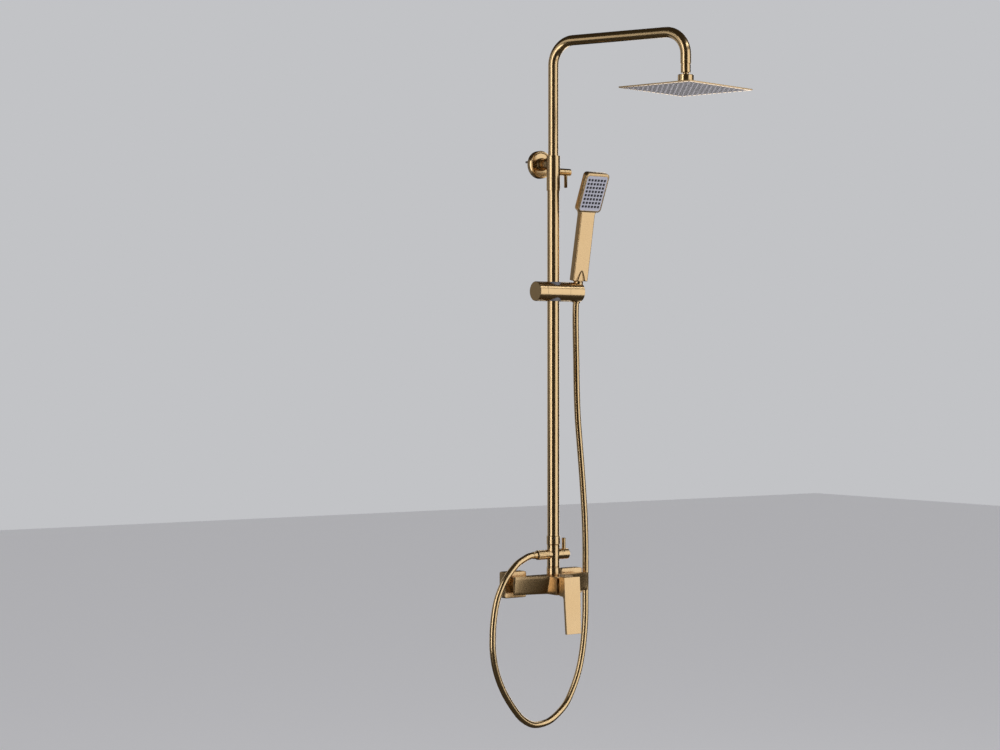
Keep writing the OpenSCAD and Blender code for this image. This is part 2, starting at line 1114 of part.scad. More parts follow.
module hand_face() {
    color(grey_plastic)
        difference() {
            at_hand_head()
                translate([0, -7.2, face_mid])
                    rotate([90, 0, 0])
                        linear_extrude(2.2)
                            round_rect(face_w - 0.1, face_h - 0.1, 5.4);
            at_hand_nozzles()
                translate([-2.55, -10, -2.55])
                    cube([5.1, 4, 5.1]);
        }
}

module hand_nozzles() {
    color(black_rubber)
        union() {
            at_hand_head()
                translate([0, -5.6, face_mid])
                    rotate([90, 0, 0])
                        linear_extrude(1.5)
                            round_rect(face_w - 4, face_h - 4, 4);
            at_hand_nozzles()
                difference() {
                    translate([-2.5, -9.9, -2.5])
                        cube([5, 2.9, 5]);
                    rod_y(8, 11, 0.7);
                }
        }
}

// ---- ball joint and rain head --------------------------------------------------

module arm_nipple() {
    color(gold)
        at_arm()
            translate([0, -arm_reach, 0])
                difference() {
                    union() {
                        translate([0, 0, 1070])
                            cylinder(h = 16, r = 10.2);
                        translate([0, 0, 1085])
                            cylinder(h = arm_end_z - 1085.3, r = 9.2);
                        translate([0, 0, 1069])
                            cylinder(h = 1.1, r1 = 9.2, r2 = 10.15);
                        translate([0, 0, arm_end_z - 1])
                            cylinder(h = 13, r = upper_r - 1.16);
                    }
                    translate([0, 0, 1068])
                        cylinder(h = 14, r = 7.5);
                    translate([0, 0, 1068])
                        cylinder(h = 40, r = 6);
                }
}

ball_r = 9;
seat_r = 12.5;

module ball_stud() {
    color(gold)
        at_ball()
            difference() {
                union() {
                    sphere(r = ball_r);
                    cylinder(h = 14, r = 6);
                    translate([0, 0, 13])
                        cylinder(h = 12.5, r = 7.45);
                }
                translate([0, 0, -12])
                    cylinder(h = 40, r = 4);
            }
}

module ball_seat() {
    color(white_plastic)
        at_head()
            difference() {
                intersection() {
                    sphere(r = seat_r);
                    translate([0, 0, -9.2])
                        cylinder(h = 5.2, r = 20);
                }
                sphere(r = ball_r + 0.06);
                translate([0, 0, -12])
                    cylinder(h = 10, r = 5.5);
            }
}

module ball_nut() {
    color(gold)
        at_head()
            difference() {
                union() {
                    translate([0, 0, -12])
                        cylinder(h = 20.4, r = 16.4);
                    translate([0, 0, 8.3])
                        cylinder(h = 1.2, r1 = 16.35, r2 = 15.2);
                }
                // ball socket above, room for the seat below
                sphere(r = ball_r + 0.08);
                intersection() {
                    sphere(r = seat_r + 0.1);
                    translate([0, 0, -20])
                        cylinder(h = 20.3, r = 20);
                }
                translate([0, 0, -13])
                    cylinder(h = 6, r = 13.95);
                translate([0, 0, 3.5])
                    cylinder(h = 7, r1 = 8.3, r2 = 10.4);
            }
}

module head_shell() {
    color(gold)
        at_head()
            difference() {
                union() {
                    translate([0, 0, head_z - ball_z])
                        linear_extrude(2.6)
                            round_rect(head_w, head_w, 2);
                    translate([0, 0, head_z - ball_z + 2.4])
                        linear_extrude(2.2)
                            round_rect(head_w - 70, head_w - 70, 3);
                    translate([0, 0, -16])
                        cylinder(h = 9, r = 13.9);
                }
                sphere(r = seat_r + 0.1);
                translate([0, 0, -30])
                    cylinder(h = 24, r = 5);
                // shallow water chamber, open below
                translate([0, 0, head_z - ball_z - 0.1])
                    linear_extrude(1.7)
                        round_rect(head_w - 14, head_w - 14, 2);
                translate([0, 0, head_z - ball_z + 1])
                    linear_extrude(2.4)
                        round_rect(head_w - 76, head_w - 76, 2);
            }
}

// thin stiffening frame that spreads the water over the nozzle mat
module head_chamber() {
    color(steel)
        at_head()
            translate([0, 0, head_z - ball_z + 1.7])
                linear_extrude(1.6)
                    difference() {
                        round_rect(head_w - 78, head_w - 78, 2);
                        for (a = [0:5])
                            rotate(60 * a)
                                translate([34, 0])
                                    circle(r = 12);
                        circle(r = 12);
                    }
}

mat_n = 13;

module head_mat() {
    mat_pitch = (head_w - 30) / (mat_n - 1);
    color(grey_plastic)
        at_head()
            translate([0, 0, head_z - ball_z]) {
                translate([0, 0, 0.2])
                    linear_extrude(1.3)
                        round_rect(head_w - 14.2, head_w - 14.2, 2);
                for (i = [0:mat_n - 1])
                    for (j = [0:mat_n - 1])
                        translate([(i - (mat_n - 1) / 2) * mat_pitch,
                                   (j - (mat_n - 1) / 2) * mat_pitch, -1.6])
                            cylinder(h = 2, r = 1.5, $fn = 16);
            }
}

mixer_body();
cartridge();
cartridge_nut();
cartridge_rotor();
cartridge_stem();
mixer_lever();
lever_screw();
inlet_studs();
inlet_nuts();
inlet_washers();
check_valves();
wall_rosettes();
base_nut();
base_seal();
diverter_body();
diverter_core();
core_rings();
diverter_gland();
diverter_knob();
diverter_pin();
foot_collar();
collar_screw();
foot_ring();
lower_tube();
clamp_sleeve();
guide_bush();
clamp_knob();
clamp_pin();
clamp_shoe();
upper_tube();
tube_piston();
piston_rings();
wall_plate();
wall_screws();
wall_flange();
wall_stem();
stem_screw();
slider_bush();
slider_body();
slider_knob();
slider_pad();
holder_axle();
holder();
hose_nut();
hose_gasket();
hose_insert();
hose_tube();
hand_gasket();
hand_insert();
cone_nut();
hand_body();
hand_face();
hand_nozzles();
arm_nipple();
ball_stud();
ball_seat();
ball_nut();
head_shell();
head_chamber();
head_mat();
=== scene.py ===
# %% [markdown]
# Rainfall shower column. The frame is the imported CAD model: every solid already has its
# real size and place, so this lesson adds the camera, the light, the finishes, the hose
# and the small shapes that CAD leaves plain.

# %% load the frame
import bpy
import bmesh
import json
import math
import numpy as np
from mathutils import Vector, Matrix


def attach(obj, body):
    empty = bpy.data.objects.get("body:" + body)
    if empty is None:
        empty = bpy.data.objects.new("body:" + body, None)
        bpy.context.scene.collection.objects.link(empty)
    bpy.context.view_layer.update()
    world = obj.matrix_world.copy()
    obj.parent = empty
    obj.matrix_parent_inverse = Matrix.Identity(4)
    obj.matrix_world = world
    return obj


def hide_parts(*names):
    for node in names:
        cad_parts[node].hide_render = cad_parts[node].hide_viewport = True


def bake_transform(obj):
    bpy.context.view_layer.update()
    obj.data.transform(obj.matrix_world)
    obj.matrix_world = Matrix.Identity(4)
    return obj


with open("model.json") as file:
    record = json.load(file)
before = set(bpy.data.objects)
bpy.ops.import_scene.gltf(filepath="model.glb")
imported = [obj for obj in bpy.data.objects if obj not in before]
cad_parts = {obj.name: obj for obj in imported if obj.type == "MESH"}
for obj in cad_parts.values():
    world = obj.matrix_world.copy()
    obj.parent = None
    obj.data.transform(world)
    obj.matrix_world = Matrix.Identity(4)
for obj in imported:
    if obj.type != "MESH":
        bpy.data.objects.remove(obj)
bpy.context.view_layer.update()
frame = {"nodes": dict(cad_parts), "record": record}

MM = 0.001
RISER_DEPTH = 54.0
INLET_X = 75.0
nodes_by_name = frame["nodes"]
print("loaded", len(nodes_by_name), "CAD nodes")

# %% [markdown]
# The camera stands in the room, 35 degrees to the left of straight out from the wall, at
# about the height of the slider's hose, and looks level, so upright tubes stay upright.
# A long lens keeps the column's proportions calm.

# %% camera
CAMERA_AZIMUTH = 35.0
LENS_MM = 75.6
camera_data = bpy.data.cameras.new("room_camera")
camera_data.lens = LENS_MM
camera_data.sensor_width = 36.0
camera_data.shift_x = -0.010
camera_data.shift_y = -0.005
camera_data.clip_end = 60.0
camera = bpy.data.objects.new("room_camera", camera_data)
camera.location = (-2.663, -3.695, 0.4596)
camera.rotation_euler = (math.radians(90), 0, math.radians(-CAMERA_AZIMUTH))
bpy.context.scene.collection.objects.link(camera)
bpy.context.scene.camera = camera
print("camera at", tuple(camera.location))

# %% [markdown]
# Two helpers for the whole lesson. One makes a mesh object from points and faces, the other
# adds a node to any node tree, sets it up and links it, so a tree reads from top to bottom.

# %% helpers for meshes and node trees
def mesh_object(name, points, faces, smooth=True):
    mesh = bpy.data.meshes.new(name)
    mesh.from_pydata([tuple(p) for p in points], [], faces)
    mesh.polygons.foreach_set("use_smooth", [smooth] * len(mesh.polygons))
    mesh.update()
    made = bpy.data.objects.new(name, mesh)
    bpy.context.scene.collection.objects.link(made)
    return made


def node(tree, kind, settings=None, inputs=None):
    """Adds a node, sets its own settings, then fills or links its inputs."""
    made = tree.nodes.new(kind)
    for key, value in (settings or {}).items():
        setattr(made, key, value)
    for key, value in (inputs or {}).items():
        if isinstance(value, bpy.types.NodeSocket):
            tree.links.new(value, made.inputs[key])
        else:
            made.inputs[key].default_value = value
    return made


def shape_tree(name, sockets):
    """A new shape tree with a Geometry input, these named inputs, and a Geometry output."""
    tree = bpy.data.node_groups.new(name, "GeometryNodeTree")
    tree.interface.new_socket("Geometry", in_out="INPUT", socket_type="NodeSocketGeometry")
    for label, kind in sockets:
        tree.interface.new_socket(label, in_out="INPUT", socket_type="NodeSocket" + kind)
    tree.interface.new_socket("Geometry", in_out="OUTPUT", socket_type="NodeSocketGeometry")
    return tree, node(tree, "NodeGroupInput")


def run_tree(made, tree, values):
    """Runs the shape tree on the object with these values and keeps the finished mesh."""
    modifier = made.modifiers.new(tree.name, "NODES")
    modifier.node_group = tree
    for item in tree.interface.items_tree:
        if item.in_out == "INPUT" and item.name in values:
            modifier[item.identifier] = values[item.name]
    bpy.context.view_layer.update()
    ready = made.evaluated_get(bpy.context.evaluated_depsgraph_get())
    finished = bpy.data.meshes.new_from_object(ready)
    made.modifiers.remove(modifier)
    old = made.data
    made.data = finished
    finished.name = made.name
    bpy.data.meshes.remove(old)
    return made


# %% [markdown]
# Finishes. Every visible metal piece is brass with a brushed gold PVD coat: the brass is
# brushed with fine belts, then coated in vacuum, so the colour is even and the brush
# marks spread each reflection a little. Colours are written as sRGB hex values and one
# function turns them to linear light.

# %% colour and node helpers
def linear(hex_colour):
    """sRGB hex to the linear RGBA that a shader works in."""
    parts = [int(hex_colour[i:i + 2], 16) / 255 for i in (1, 3, 5)]
    return [p / 12.92 if p <= 0.04045 else ((p + 0.055) / 1.055) ** 2.4 for p in parts] + [1.0]


def new_material(name):
    material = bpy.data.materials.new(name)
    material.use_nodes = True
    material.node_tree.nodes.clear()
    return material, material.node_tree


def close_material(tree, shader):
    node(tree, "ShaderNodeOutputMaterial", inputs={"Surface": shader.outputs["BSDF"]})


# %% [markdown]
# Brushed metal: the brush marks are a noise that is long one way and short the other. It
# drives a little roughness and a very low bump. Real marks are about 0.05 mm apart, too
# fine to show, so they are drawn about 0.6 mm apart. `along` says which way they run.

# %% brushed metal
def brushed_metal(name, colour, shade, along, roughness, edge=0.35, spread=0.05):
    """Brushed metal; along is the axis that the marks run along."""
    material, tree = new_material(name)
    place = node(tree, "ShaderNodeTexCoord")
    across_scale, along_scale = 1600, 25
    stretch = [across_scale] * 3
    stretch["XYZ".index(along)] = along_scale
    mapped = node(tree, "ShaderNodeMapping", inputs={
        "Vector": place.outputs["Object"], "Scale": stretch})
    marks = node(tree, "ShaderNodeTexNoise", inputs={
        "Vector": mapped.outputs["Vector"], "Scale": 1.0, "Detail": 3.0, "Roughness": 0.6})
    cloud = node(tree, "ShaderNodeTexNoise", inputs={
        "Vector": place.outputs["Object"], "Scale": 14.0, "Detail": 4.0})
    rough = node(tree, "ShaderNodeMapRange", inputs={
        "Value": marks.outputs["Fac"], "From Min": 0.3, "From Max": 0.7,
        "To Min": roughness - spread, "To Max": roughness + spread})
    tint = node(tree, "ShaderNodeMix", {"data_type": "RGBA"}, {
        "Factor": cloud.outputs["Fac"], "A": linear(shade), "B": linear(colour)})
    rounded = node(tree, "ShaderNodeBevel", {"samples": 4}, {"Radius": edge * MM})
    bump = node(tree, "ShaderNodeBump", inputs={
        "Strength": 0.05, "Distance": 0.02 * MM, "Height": marks.outputs["Fac"],
        "Normal": rounded.outputs["Normal"]})
    shader = node(tree, "ShaderNodeBsdfPrincipled", inputs={
        "Base Color": tint.outputs["Result"], "Metallic": 1.0,
        "Roughness": rough.outputs["Result"], "Normal": bump.outputs["Normal"]})
    close_material(tree, shader)
    return material


gold_turned = brushed_metal("brushed_gold_pvd_turned", "#DFC295", "#D6B687", "X", 0.21, spread=0.03)
gold_flat = brushed_metal("brushed_gold_pvd_flat", "#DFC094", "#D5B485", "Z", 0.27, edge=0.8)
raw_brass = brushed_metal("machined_brass", "#D9BC72", "#CBAA5E", "X", 0.30)
stainless = brushed_metal("machined_stainless", "#B9B9BC", "#A8A8AC", "X", 0.30)

# %% [markdown]
# The hose's band is wound gold-coated steel, polished by its own winding. Its pattern
# follows the hose, so it reads the UV map: V runs in metres along it.

# %% hose finish
def hose_metal():
    material, tree = new_material("wound_gold_steel_hose")
    place = node(tree, "ShaderNodeUVMap", {"uv_map": "UVMap"})
    mapped = node(tree, "ShaderNodeMapping", inputs={
        "Vector": place.outputs["UV"], "Scale": (6.0, 700.0, 1.0)})
    marks = node(tree, "ShaderNodeTexNoise", inputs={
        "Vector": mapped.outputs["Vector"], "Scale": 1.0, "Detail": 2.0})
    rough = node(tree, "ShaderNodeMapRange", inputs={
        "Value": marks.outputs["Fac"], "To Min": 0.16, "To Max": 0.28})
    shader = node(tree, "ShaderNodeBsdfPrincipled", inputs={
        "Base Color": linear("#DFC193"), "Metallic": 1.0, "Roughness": rough.outputs["Result"]})
    close_material(tree, shader)
    return material


hose_finish = hose_metal()

# %% [markdown]
# Plastics and rubbers: moulded parts with a faint spark-eroded grain, silicone that is
# softer and duller. The grain is about 0.3 mm.

# %% moulded finishes
def moulded(name, colour, shade, roughness, grain=0.3, height=0.03):
    material, tree = new_material(name)
    place = node(tree, "ShaderNodeTexCoord")
    fine = node(tree, "ShaderNodeTexNoise", inputs={
        "Vector": place.outputs["Object"], "Scale": 1000 / grain / 4, "Detail": 3.0})
    broad = node(tree, "ShaderNodeTexNoise", inputs={
        "Vector": place.outputs["Object"], "Scale": 30.0, "Detail": 2.0})
    tint = node(tree, "ShaderNodeMix", {"data_type": "RGBA"}, {
        "Factor": broad.outputs["Fac"], "A": linear(shade), "B": linear(colour)})
    bump = node(tree, "ShaderNodeBump", inputs={
        "Strength": 0.2, "Distance": height * MM, "Height": fine.outputs["Fac"]})
    shader = node(tree, "ShaderNodeBsdfPrincipled", inputs={
        "Base Color": tint.outputs["Result"], "Roughness": roughness,
        "Normal": bump.outputs["Normal"]})
    close_material(tree, shader)
    return material


finishes = {
    "brushed_gold": gold_turned,
    "raw_brass": raw_brass,
    "stainless": stainless,
    "grey_plastic": moulded("moulded_grey_acetal", "#66676D", "#5A5B61", 0.42),
    "lilac_face": moulded("satin_lilac_abs_face", "#B8B8C4", "#AEAEBB", 0.38),
    "grey_nozzle_mat": moulded("grey_silicone_nozzle_mat", "#7C787C", "#6E6A6E", 0.6),
    "white_plastic": moulded("moulded_white_acetal", "#E2E2DE", "#D6D6D0", 0.45),
    "ceramic": moulded("polished_ceramic", "#E9E7E0", "#E2E0D8", 0.15, height=0.005),
    "black_rubber": moulded("black_silicone_rubber", "#17171C", "#101014", 0.6),
}

# %% [markdown]
# The hose is a metal-wound shower hose, 14 mm thick, 1.5 m with its ends. It could be a
# curve with a bevel; a tube of rings is used, because each ring can be a little wider or
# narrower, which gives the shallow turns of the wound band. The route is the one the CAD
# solid follows. It is cut into lengths that each cross one joint.

# %% hose route
LEAN = math.radians(11)
HOSE_D = 0.014

hose_route = [
    (-53.5, -54, 64), (-65, -55, 62.3), (-77, -56, 58), (-98, -57, 47), (-123, -57, 22.5),
    (-137.5, -57, 0), (-148.5, -57, -25), (-154, -56, -50), (-157.5, -55, -80),
    (-158, -54, -105), (-157, -53, -130), (-150.5, -51, -163), (-138.5, -49, -196),
    (-120, -47, -230), (-94, -44, -264), (-71.5, -42, -286), (-41, -39, -300.5),
    (-5, -36, -299), (23, -33, -287), (51, -30, -265), (71, -28, -235),
    (87, -26, -202), (97.5, -24, -170), (104, -23, -137), (108.5, -22, -103),
    (111, -21, -70), (112, -20, -36), (112.2, -20, 0), (112.2, -20, 38),
    (112, -20, 76), (110.3, -20, 130), (106.5, -21, 175), (101, -22.5, 230),
    (93.9, -25, 285), (84.5, -29, 353), (78.5, -33, 415), (73.5, -38, 477),
    (68, -43.3, 546), (65, -47, 582),
    (64, -54 + 24 * math.tan(LEAN), 604),
]
route = np.array(hose_route) * MM


def smooth_line(points, step):
    """A Catmull-Rom curve through the points, then points on it at even steps."""
    ends = np.vstack([points[:1], points, points[-1:]])
    fine = []
    for i in range(1, len(ends) - 2):
        p0, p1, p2, p3 = ends[i - 1:i + 3]
        for t in np.linspace(0, 1, 24, endpoint=False):
            fine.append(0.5 * (2 * p1 + (p2 - p0) * t + (2 * p0 - 5 * p1 + 4 * p2 - p3) * t ** 2
                               + (3 * p1 - p0 - 3 * p2 + p3) * t ** 3))
    fine = np.array(fine + [points[-1]])
    walked = np.concatenate([[0], np.cumsum(np.linalg.norm(np.diff(fine, axis=0), axis=1))])
    marks = np.linspace(0, walked[-1], int(round(walked[-1] / step)) + 1)
    return np.stack([np.interp(marks, walked, fine[:, k]) for k in range(3)], axis=1), marks


RIB_STEP = 1.4 * MM
hose_line, hose_marks = smooth_line(route, RIB_STEP)
print("hose tube is", round(hose_marks[-1], 3), "m long with", len(hose_line), "rings")

# %% [markdown]
# The tube itself is swept along the line by Geometry Nodes. Every second ring is a little
# narrower, which is what the eye sees of the wound band. The distance along the hose and
# the way round it are kept as the UV map for the finish.

# %% hose tree
def hose_tree():
    tree, given = shape_tree("wound_hose", [
        ("Radius", "Float"), ("Rib depth", "Float"), ("Sides", "Int"), ("Finish", "Material")])
    line = node(tree, "GeometryNodeMeshToCurve", inputs={"Mesh": given.outputs["Geometry"]})
    number = node(tree, "GeometryNodeInputIndex")
    narrow = node(tree, "ShaderNodeMath", {"operation": "MODULO"},
                  {0: number.outputs["Index"], 1: 2.0})
    dip = node(tree, "ShaderNodeMath", {"operation": "MULTIPLY"},
               {0: narrow.outputs["Value"], 1: given.outputs["Rib depth"]})
    radius = node(tree, "ShaderNodeMath", {"operation": "SUBTRACT"},
                  {0: given.outputs["Radius"], 1: dip.outputs["Value"]})
    sized = node(tree, "GeometryNodeSetCurveRadius", inputs={
        "Curve": line.outputs["Curve"], "Radius": radius.outputs["Value"]})
    walked = node(tree, "GeometryNodeSplineParameter")
    kept = node(tree, "GeometryNodeStoreNamedAttribute", {"data_type": "FLOAT", "domain": "POINT"}, {
        "Geometry": sized.outputs["Curve"], "Name": "walked", "Value": walked.outputs["Length"]})
    circle = node(tree, "GeometryNodeCurvePrimitiveCircle", inputs={
        "Resolution": given.outputs["Sides"], "Radius": 1.0})
    turned = node(tree, "GeometryNodeStoreNamedAttribute", {"data_type": "FLOAT", "domain": "POINT"}, {
        "Geometry": circle.outputs["Curve"], "Name": "turned", "Value": walked.outputs["Factor"]})
    tube = node(tree, "GeometryNodeCurveToMesh", inputs={
        "Curve": kept.outputs["Geometry"], "Profile Curve": turned.outputs["Geometry"],
        "Fill Caps": True})
    if "Scale" in tube.inputs:
        width = node(tree, "GeometryNodeInputRadius")
        tree.links.new(width.outputs["Radius"], tube.inputs["Scale"])
    read_turned = node(tree, "GeometryNodeInputNamedAttribute", {"data_type": "FLOAT"}, {"Name": "turned"})
    read_walked = node(tree, "GeometryNodeInputNamedAttribute", {"data_type": "FLOAT"}, {"Name": "walked"})
    pair = node(tree, "ShaderNodeCombineXYZ", inputs={
        "X": read_turned.outputs["Attribute"], "Y": read_walked.outputs["Attribute"]})
    mapped = node(tree, "GeometryNodeStoreNamedAttribute", {"data_type": "FLOAT2", "domain": "CORNER"}, {
        "Geometry": tube.outputs["Mesh"], "Name": "UVMap", "Value": pair.outputs["Vector"]})
    soft = node(tree, "GeometryNodeSetShadeSmooth", inputs={"Geometry": mapped.outputs["Geometry"]})
    whole = node(tree, "GeometryNodeRealizeInstances", inputs={"Geometry": soft.outputs["Geometry"]})
    coat = node(tree, "GeometryNodeSetMaterial", inputs={
        "Geometry": whole.outputs["Geometry"], "Material": given.outputs["Finish"]})
    node(tree, "NodeGroupOutput", inputs={"Geometry": coat.outputs["Geometry"]})
    return tree


HOSE_SIDES = 20
RIB_DEPTH = 0.12 * MM
wound_hose = hose_tree()


def hose_length(name, first, last):
    """One length of the hose, rings first to last of the line."""
    points = hose_line[first:last + 1]
    mesh = bpy.data.meshes.new(name)
    mesh.from_pydata([tuple(p) for p in points], [(i, i + 1) for i in range(last - first)], [])
    made = bpy.data.objects.new(name, mesh)
    bpy.context.scene.collection.objects.link(made)
    return run_tree(made, wound_hose, {"Radius": HOSE_D / 2, "Rib depth": RIB_DEPTH,
                                       "Sides": HOSE_SIDES, "Finish": hose_finish})


def ring_near(x, z):
    """The ring of the rising side of the hose that is nearest to this place."""
    return int(np.argmin(np.hypot(hose_line[:, 0] - x, hose_line[:, 2] - z)))


cuts = [0, ring_near(0.087, -0.202), ring_near(0.0845, 0.340), ring_near(0.079, 0.428),
        ring_near(0.072, 0.516), len(hose_line) - 1]
hose_names = ["hose_loop", "hose_rise", "hose_hang_low", "hose_hang_mid", "hose_hang_top"]
hose_lengths = [hose_length(n, a, b) for n, a, b in zip(hose_names, cuts, cuts[1:])]
hose_crossings = [None, ("fixed", "bush"), ("bush", "slider"), ("slider", "holder"),
                  ("holder", "hose_cone")]
for piece, crossing, a, b in zip(hose_lengths, hose_crossings, cuts, cuts[1:]):
    if crossing is None:
        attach(piece, "fixed")
    else:
        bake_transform(piece)
    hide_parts("hose_tube")
print("hose lengths", [round(float(hose_marks[b] - hose_marks[a]), 3) for a, b in zip(cuts, cuts[1:])])

# %% [markdown]
# Shapes. CAD gives sharp edges and flat faces. The cast and pressed pieces that the eye
# reads first are made again here by lofting rings: a list of rings with the same number of
# points, skinned with four-sided faces. Rounded edges come from the last rings stepping
# inwards. All sizes are the CAD sizes, in millimetres, turned to metres at the end. The
# lever keeps its CAD mesh, since the cavity inside it must clear the cartridge's nut.

# %% helpers for lofts
def round_outline(w, h, r, corner=5, across=1, along=1, mid=(0, 0)):
    """A rectangle with rounded corners, anticlockwise from the right side; the long sides
    are cut into across and along steps."""
    points = []
    corners = [(w / 2 - r, h / 2 - r, 0), (r - w / 2, h / 2 - r, 90),
               (r - w / 2, r - h / 2, 180), (w / 2 - r, r - h / 2, 270)]
    for i, (cx, cy, start) in enumerate(corners):
        for k in range(corner + 1):
            angle = math.radians(start + 90 * k / corner)
            points.append((cx + r * math.cos(angle), cy + r * math.sin(angle)))
        nx, ny, following = corners[(i + 1) % 4]
        turn = math.radians(following)
        goal = (nx + r * math.cos(turn), ny + r * math.sin(turn))
        steps = across if i % 2 == 0 else along
        here = points[-1]
        points += [(here[0] + (goal[0] - here[0]) * k / steps,
                    here[1] + (goal[1] - here[1]) * k / steps) for k in range(1, steps)]
    return [(x + mid[0], y + mid[1]) for x, y in points]


def circle_like(outline, r, mid=(0, 0)):
    """A circle with one point in the direction of each outline point."""
    made = []
    for x, y in outline:
        angle = math.atan2(y - mid[1], x - mid[0])
        made.append((mid[0] + r * math.cos(angle), mid[1] + r * math.sin(angle)))
    return made


def circle(r, count=48):
    return [(r * math.cos(2 * math.pi * k / count), r * math.sin(2 * math.pi * k / count))
            for k in range(count)]


class Loft:
    """Collects lofted shells, in millimetres, and makes one mesh object of them."""

    def __init__(self):
        self.points, self.faces = [], []

    def shell(self, rings, matrix=Matrix.Identity(4)):
        """Skins the rings one after another and closes both ends."""
        base, size = len(self.points), len(rings[0])
        for ring in rings:
            self.points += [matrix @ Vector(p) for p in ring]
        for i in range(len(rings) - 1):
            for k in range(size):
                a, b = base + i * size + k, base + i * size + (k + 1) % size
                self.faces.append((a, b, b + size, a + size))
        self.faces.append(tuple(base + k for k in range(size))[::-1])
        last = base + (len(rings) - 1) * size
        self.faces.append(tuple(last + k for k in range(size)))

    def make(self, name, finish, body, replaced, crease=32):
        """The finished piece: normals outward, smooth but for its creases, attached to its body, with the
        CAD pieces it replaces hidden.
        """
        made = mesh_object(name, [Vector(p) * MM for p in self.points], self.faces)
        work = bmesh.new()
        work.from_mesh(made.data)
        bmesh.ops.recalc_face_normals(work, faces=work.faces)
        for edge in work.edges:
            edge.smooth = edge.calc_face_angle(0) < math.radians(crease)
        work.to_mesh(made.data)
        work.free()
        made.data.materials.append(finish)
        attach(made, body)
        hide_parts(*replaced)
        print(name, len(made.data.polygons), "faces")
        return made


# %% [markdown]
# The mixer casting: a centre block that holds the cartridge, and two wings that sweep back
# to the inlets. Each wing's front is a ruled face: it leans back 11 mm towards the bottom
# beside the block and 4 mm at the tip, and its plan is slightly hollow.

# %% mixer casting
BLOCK_HALF = 22.0
BODY_HALF_H = 19.5
WING_TIP = 98.0
EDGE = 1.0
WING_BACK, TIP_FRONT, SWEEP = 32.0, 50.0, 22.0
TIP_LEAN, ROOT_LEAN = 4.0, 11.0
TIP_CUT = 10.0


def wing_ring(x, inset):
    """Section of a wing at distance x from the middle: (x, -depth, z) points."""
    t = (WING_TIP - x) / (WING_TIP - BLOCK_HALF)
    front = TIP_FRONT + SWEEP * t ** 1.12
    lean = TIP_LEAN + (ROOT_LEAN - TIP_LEAN) * t
    cut = max(0.0, (x - WING_TIP + TIP_CUT) / TIP_CUT)
    back = WING_BACK + 12 * cut
    low, high = -BODY_HALF_H + inset, BODY_HALF_H - inset
    ring = [(x, -(back + inset), low), (x, -(back + inset), high)]
    rows = 12
    for k in range(rows + 1):
        z = high - (high - low) * k / rows
        fall = (BODY_HALF_H - z) / (2 * BODY_HALF_H)
        depth = front - inset - lean * fall ** 1.25
        round_off = max(0.0, EDGE - min(high - z, z - low) * 1.6)
        ring.append((x, -(depth - round_off * 0.7), z))
    return ring


def block_outline(inset):
    return round_outline(2 * (BLOCK_HALF - inset), 2 * (BODY_HALF_H - inset), EDGE,
                         corner=4, across=6, along=6)


def mixer_casting():
    """Wings and inlet necks on both sides, the block with its open bore, and the spout."""
    loft = Loft()
    root, tip, cuts_across = BLOCK_HALF - 1, WING_TIP - 2, 18
    stations = [(root + (tip - root) * k / cuts_across, 0) for k in range(cuts_across + 1)]
    stations += [(WING_TIP - 1, 0), (WING_TIP - 0.3, 0.3), (WING_TIP, EDGE)]
    for side in (-1, 1):
        loft.shell([[(side * px, py, pz) for px, py, pz in wing_ring(x, inset)]
                    for x, inset in stations])
        loft.shell([[(side * INLET_X + a, -d, b) for a, b in circle(13)] for d in (24, 40)])
    full, near, front = block_outline(0), block_outline(0.3), block_outline(1)
    bore = circle_like(full, 17.3)
    block = [(full, 32), (full, 96), (near, 96.7), (front, 97), (bore, 97), (bore, 62)]
    loft.shell([[(x, -d, z) for x, z in outline] for outline, d in block])
    spout = [(12, 10), (12, 30), (7, 30), (7, 11)]
    loft.shell([[(x, y - RISER_DEPTH, z) for x, y in circle(r)] for r, z in spout])
    return loft.make("mixer_casting", gold_flat, "fixed", ["mixer_body"])


mixer_casting()

# %% [markdown]
# The rosettes: two pressed square covers, 56 mm wide and 20 mm deep, edges rounded 1.2 mm.

# %% rosettes
def rosettes():
    loft = Loft()
    for side in (-1, 1):
        mid = (side * INLET_X, 0)
        plan = [(56, 4, 0), (56, 4, 18.8), (55.6, 3.8, 19.5), (54.6, 3.6, 19.9), (53.4, 3.4, 20)]
        rings = [[(x, -d, z) for x, z in round_outline(w, w, r, mid=mid)] for w, r, d in plan]
        hole = circle_like(round_outline(56, 56, 4, mid=mid), 14.8, mid)
        rings += [[(x, -20, z) for x, z in hole], [(x, -17, z) for x, z in hole]]
        loft.shell(rings)
    return loft.make("square_rosettes", gold_flat, "fixed", ["wall_rosettes"])


rosettes()

# %% [markdown]
# The hand shower: a flat handle whose foot carries a raised pointed arch between two
# grooves, and a rounded block for the spray face, tipped forward over the handle.

# %% hand shower shell
HANDLE_TOP = 179.0
HEAD_LEAN = math.radians(13)
HOLDER_X, HOLDER_Z = 64.0, 628.0
FACE_W, FACE_H, FACE_MID = 54.0, 78.0, 40.8
at_hand = (Matrix.Translation((HOLDER_X, -RISER_DEPTH, HOLDER_Z))
           @ Matrix.Rotation(LEAN, 4, "X"))
at_spray = (at_hand @ Matrix.Translation((0, 0, HANDLE_TOP))
            @ Matrix.Rotation(HEAD_LEAN, 4, "X"))
HANDLE_FOOT, HANDLE_T = 25.0, 16.0
ARCH_TOP, ARCH_HALF, GROOVE = 47.5, 9.7, 1.5


